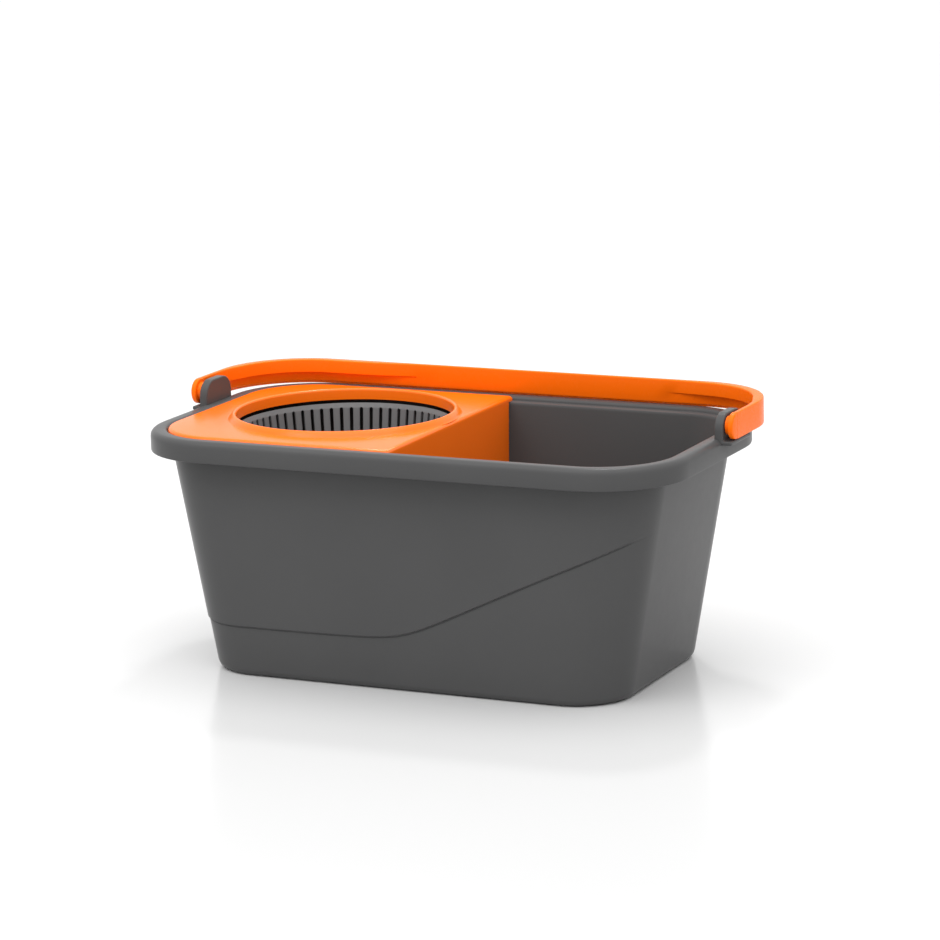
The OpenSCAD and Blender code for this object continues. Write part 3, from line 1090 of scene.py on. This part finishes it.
@dataclass
class BailHandle:
    """The folded bail: a strap with a flange round its corners, end tabs and pivot pegs."""

    half_width: float = 250.0
    rear: float = 137.5
    corner: float = 72.0
    thickness: float = 4.0
    low: float = 204.8
    high: float = 225.0
    lip_low: float = 202.9
    lip_thickness: float = 1.4
    flange_low: float = 213.2
    flange_reach: float = 5.0
    flange_start: float = 54.0
    flange_full: float = 84.0
    web_depth: float = 1.0
    grip_left: float = -84.0
    grip_right: float = 138.0
    fade: float = 62.0
    edge: float = 1.1
    pivot: Point = (17.0, 214.0)
    overlap: float = 1.3
    tab_radius: float = 10.96
    tab_inner: float = 245.4
    tab_outer: float = 249.9
    boss_radius: float = 8.0
    boss_inner: float = 242.2
    peg_radius: float = 5.0
    peg_end: float = 235.9
    grip_steps: int = 30
    corner_steps: int = 18
    arm_steps: int = 3
    chamfer: float = 0.6
    end_facets: int = 54
    smooth_angle: float = 40.0

    def section(self) -> list[Point]:
        """Section of the strap, with rounded edges.

        Returns:
            Depth from the outer face and height of each corner.
        """
        t, e, low, high = self.thickness, self.edge, self.low, self.high
        half_lip = self.lip_thickness / 2
        return [
            *arc((half_lip, self.lip_low + half_lip), half_lip, 270, 180, 3),
            *arc((e, high - e), e, 180, 90, 3),
            *arc((t - e, high - e), e, 90, 0, 3),
            (t, self.flange_low + 0.8),
            (t, self.flange_low),
            *arc((t - e, low + e), e, 0, -90, 3),
            (self.lip_thickness + 0.05, low),
            (self.lip_thickness, self.lip_low + half_lip),
        ]

    def web_share(self, place: Vector) -> float:
        """How far the web is set back at a place along the strap, from 0 on the grip to 1 near the ends."""
        return ease(max(self.grip_left - place.x, place.x - self.grip_right) / self.fade)

    def flange_share(self, place: Vector) -> float:
        """How far the flange reaches inwards: 0 on the grip and beside the lugs, 1 at the corners."""
        arm = ease((place.y - self.flange_start) / (self.flange_full - self.flange_start))
        return arm * self.web_share(place)

    def outward(self, place: Vector) -> Vector:
        """Direction from the inside of the bail to its outside.

        Args:
            place: A place along the strap.

        Returns:
            The direction, of length 1.
        """
        centre_x, centre_y = self.half_width - self.corner, self.rear - self.corner
        away = Vector((0.0, 0.0, 0.0))
        if abs(place.x) > centre_x:
            away.x = place.x - math.copysign(centre_x, place.x)
        if place.y > centre_y:
            away.y = place.y - centre_y
        return away.normalized()

    def sweep(self, piece: Piece) -> None:
        """Carries the section along the right arm, round the corners and along the rear to the left arm.

        Args:
            piece: The object in edit mode.
        """
        start = self.pivot[0] + self.overlap
        start_y = start * MM
        centre_x, centre_y = (self.half_width - self.corner) * MM, (self.rear - self.corner) * MM
        points = [Vector((self.half_width - depth, start, z)) * MM for depth, z in self.section()]
        loop = add_line(piece, points)
        for _ in range(self.arm_steps):
            extrude((0, (centre_y - start_y) / self.arm_steps, 0))
        quarter = math.pi / 2
        bpy.ops.mesh.spin(
            steps=self.corner_steps, angle=quarter, center=(centre_x, centre_y, 0), axis=(0, 0, -1)
        )
        for _ in range(self.grip_steps):
            extrude((-2 * centre_x / self.grip_steps, 0, 0))
        bpy.ops.mesh.spin(
            steps=self.corner_steps, angle=quarter, center=(-centre_x, centre_y, 0), axis=(0, 0, -1)
        )
        for _ in range(self.arm_steps):
            extrude((0, (start_y - centre_y) / self.arm_steps, 0))
        bpy.ops.mesh.edge_face_add()
        select(piece, Element.VERTEX, lambda v: v.index in loop)
        bpy.ops.mesh.edge_face_add()

    def shape_flange(self, piece: Piece) -> None:
        """Draws the top inwards as a flange and sets the web under it back. Both fade out along the grip.

        Args:
            piece: The object in edit mode.
        """
        moves: dict[int, Vector] = {}
        for vertex in mesh_of(piece).verts:
            place = vertex.co / MM
            if self.depth_of(place) > self.thickness / 2:
                if place.z < self.flange_low + NEAR:
                    travel = self.web_depth * self.web_share(place)
                else:
                    travel = -self.flange_reach * self.flange_share(place)
                moves[vertex.index] = self.outward(place) * (travel * MM)
        nudge(piece, {index: move for index, move in moves.items() if move.length > TOLERANCE})

    def depth_of(self, place: Vector) -> float:
        """Depth of a place below the strap's outer face.

        Args:
            place: A place in the strap.

        Returns:
            The depth in millimetres.
        """
        centre_x, centre_y = self.half_width - self.corner, self.rear - self.corner
        if abs(place.x) > centre_x and place.y > centre_y:
            return self.corner - math.hypot(abs(place.x) - centre_x, place.y - centre_y)
        if place.y > centre_y:
            return self.rear - place.y
        return self.half_width - abs(place.x)

    def end(self, side: int) -> Piece:
        """Builds one end tab with its boss and peg as one turned shape along X.

        Args:
            side: 1 for the washing side, -1 for the basket side.

        Returns:
            The object, out of edit mode.
        """
        piece = open_bench("end_tab")
        e, chamfer = self.edge, self.chamfer
        profile = [
            (0.0, self.tab_outer),
            *arc((self.tab_radius - e, self.tab_outer - e), e, 90, 0, 4),
            (self.tab_radius, self.tab_inner + chamfer),
            (self.tab_radius - chamfer, self.tab_inner),
            (self.boss_radius, self.tab_inner),
            (self.boss_radius - 0.3, self.boss_inner),
            (self.peg_radius, self.boss_inner),
            (self.peg_radius, self.peg_end + chamfer),
            (self.peg_radius - chamfer, self.peg_end),
            (0.0, self.peg_end),
        ]
        points = [Vector((side * x, self.pivot[0] + radius, self.pivot[1])) * MM for radius, x in profile]
        add_line(piece, points, closed=False)
        centre = (0, self.pivot[0] * MM, self.pivot[1] * MM)
        bpy.ops.mesh.spin(steps=self.end_facets, angle=math.tau, center=centre, axis=(1, 0, 0))
        return close_bench(piece)

    def build(self) -> None:
        """Builds the handle and puts it in place of the CAD handle."""
        piece = open_bench("handle_moulding")
        self.sweep(piece)
        self.shape_flange(piece)
        close_bench(piece)
        for side in (1, -1):
            combine(piece, self.end(side), "UNION")
        smooth(piece, self.smooth_angle)
        install(piece, HANDLE_ORANGE, Body.HANDLE, ["bail_handle"])


# Inner parts, studio and camera


@dataclass
class InnerParts:
    """The spindle, bearings, crown and fasteners, whose CAD shapes stay."""

    finishes: tuple[tuple[Finish, tuple[str, ...]], ...] = (
        (STAND_GREY, ("spindle_stand",)),
        (SCREW_STEEL, ("stand_screws", "retaining_clip", "crown_screws")),
        (PIN_STEEL, ("spindle_pin", "thrust_washer", "spacer_sleeve")),
        (BEARING_STEEL, ("lower_inner_ring", "lower_outer_ring", "lower_balls")),
        (BEARING_STEEL, ("upper_inner_ring", "upper_outer_ring", "upper_balls")),
        (CROWN_GREY, ("drive_crown",)),
        (CAP_BLACK, ("dust_cap",)),
        (CAGE_NYLON, ("lower_cage", "upper_cage")),
    )

    def build(self) -> None:
        """Dresses each CAD node that stays."""
        for finish, nodes in self.finishes:
            for node in nodes:
                dress(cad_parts[node], finish)
                LOG.info("%s: dressed as %s", node, finish.name)


@dataclass
class Studio:
    """A pale floor, soft lights, a white surround and the camera."""

    target: Vector = field(default_factory=lambda: Vector((0.0, 0.0, 0.110)))
    azimuth: float = 25.48
    elevation: float = 12.98
    roll: float = -1.50
    distance: float = 3.185
    lens: float = 145.09
    aim_right: float = 0.0145
    aim_up: float = 0.0527
    sensor: float = 36.0
    far_clip: float = 100.0
    floor_size: float = 60.0
    floor_shade: float = 0.66
    floor_roughness: float = 0.2
    floor_specular: float = 0.35
    surround: float = 1.0
    sky_power: float = 1.9
    sky_angle: float = 70.0

    def add_camera(self) -> None:
        """Sets the camera at its distance from the target, aimed a little above it."""
        a, e, r = (math.radians(v) for v in (self.azimuth, self.elevation, self.roll))
        back = Vector((math.sin(a) * math.cos(e), -math.cos(a) * math.cos(e), math.sin(e)))
        right = Vector((math.cos(a), math.sin(a), 0))
        up = back.cross(right)
        rolled_right = math.cos(r) * right + math.sin(r) * up
        rolled_up = math.cos(r) * up - math.sin(r) * right
        place = self.target + back * self.distance
        aim = self.target + rolled_right * self.aim_right + rolled_up * self.aim_up
        away = (place - aim).normalized()
        side = rolled_up.cross(away).normalized()
        rotation = Matrix((side, away.cross(side), away)).transposed().to_4x4()
        deselect()
        bpy.ops.object.camera_add(location=(0, 0, 0))
        camera = bpy.context.object
        camera.name = "camera"
        camera.matrix_world = Matrix.Translation(place) @ rotation
        camera.data.lens = self.lens
        camera.data.sensor_width = self.sensor
        camera.data.clip_end = self.far_clip
        bpy.context.scene.camera = camera

    def add_floor(self) -> None:
        """Lays the floor."""
        deselect()
        bpy.ops.mesh.primitive_plane_add(size=self.floor_size, location=(0, 0, 0))
        floor = bpy.context.object
        floor.name = "floor"
        material = bpy.data.materials.new("floor")
        material.use_nodes = True
        shader = material.node_tree.nodes["Principled BSDF"]
        shader.inputs["Base Color"].default_value = (*[self.floor_shade] * 3, 1)
        shader.inputs["Roughness"].default_value = self.floor_roughness
        shader.inputs["Specular IOR Level"].default_value = self.floor_specular
        floor.data.materials.append(material)

    def add_softbox(self, name: str, place: Vector, aim: Vector, size: Point, power: float) -> None:
        """Hangs one rectangular light.

        Args:
            name: The light's name.
            place: Where it hangs, in metres.
            aim: The point that it faces.
            size: Its width and height in metres.
            power: Its power in watts.
        """
        deselect()
        bpy.ops.object.light_add(type="AREA", location=place)
        light = bpy.context.object
        light.name = name
        light.rotation_euler = (aim - place).to_track_quat("-Z", "Y").to_euler()
        light.data.shape = "RECTANGLE"
        light.data.size, light.data.size_y = size
        light.data.energy = power

    def add_sky_panel(self) -> None:
        """Lights everything evenly from above with one very soft distant light."""
        deselect()
        bpy.ops.object.light_add(type="SUN", location=(0, 0, 3))
        light = bpy.context.object
        light.name = "sky_panel"
        light.rotation_euler = Vector((0.1, -0.2, 1.0)).to_track_quat("Z", "Y").to_euler()
        light.data.angle = math.radians(self.sky_angle)
        light.data.energy = self.sky_power

    def build(self) -> None:
        """Sets up the whole studio."""
        world = bpy.data.worlds.new("surround")
        world.use_nodes = True
        background = world.node_tree.nodes["Background"]
        background.inputs["Color"].default_value = (1, 1, 1, 1)
        background.inputs["Strength"].default_value = self.surround
        bpy.context.scene.world = world
        bpy.context.scene.view_settings.view_transform = "Standard"
        self.add_floor()
        self.add_sky_panel()
        self.add_softbox("key", Vector((-1.2, -1.6, 2.4)), self.target, (1.6, 1.2), 12)
        self.add_softbox("glint", Vector((-0.28, 1.11, 1.99)), self.target, (0.22, 0.22), 10)
        self.add_camera()


def clear_defaults() -> None:
    """Removes the objects that Blender's start-up file holds."""
    for name in ("Cube", "Camera", "Light"):
        if name in bpy.data.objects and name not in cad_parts:
            bpy.data.objects.remove(bpy.data.objects[name], do_unlink=True)


def main() -> None:
    """Builds each sub-assembly in turn, then the studio around them."""
    logging.basicConfig(level=logging.INFO, format="%(name)s: %(message)s")
    clear_defaults()
    for part in (Bucket(), SplashCover(), SpinBasket(), BailHandle(), InnerParts(), Studio()):
        LOG.info("building %s", type(part).__name__)
        part.build()


if __name__ == "__main__":
    main()
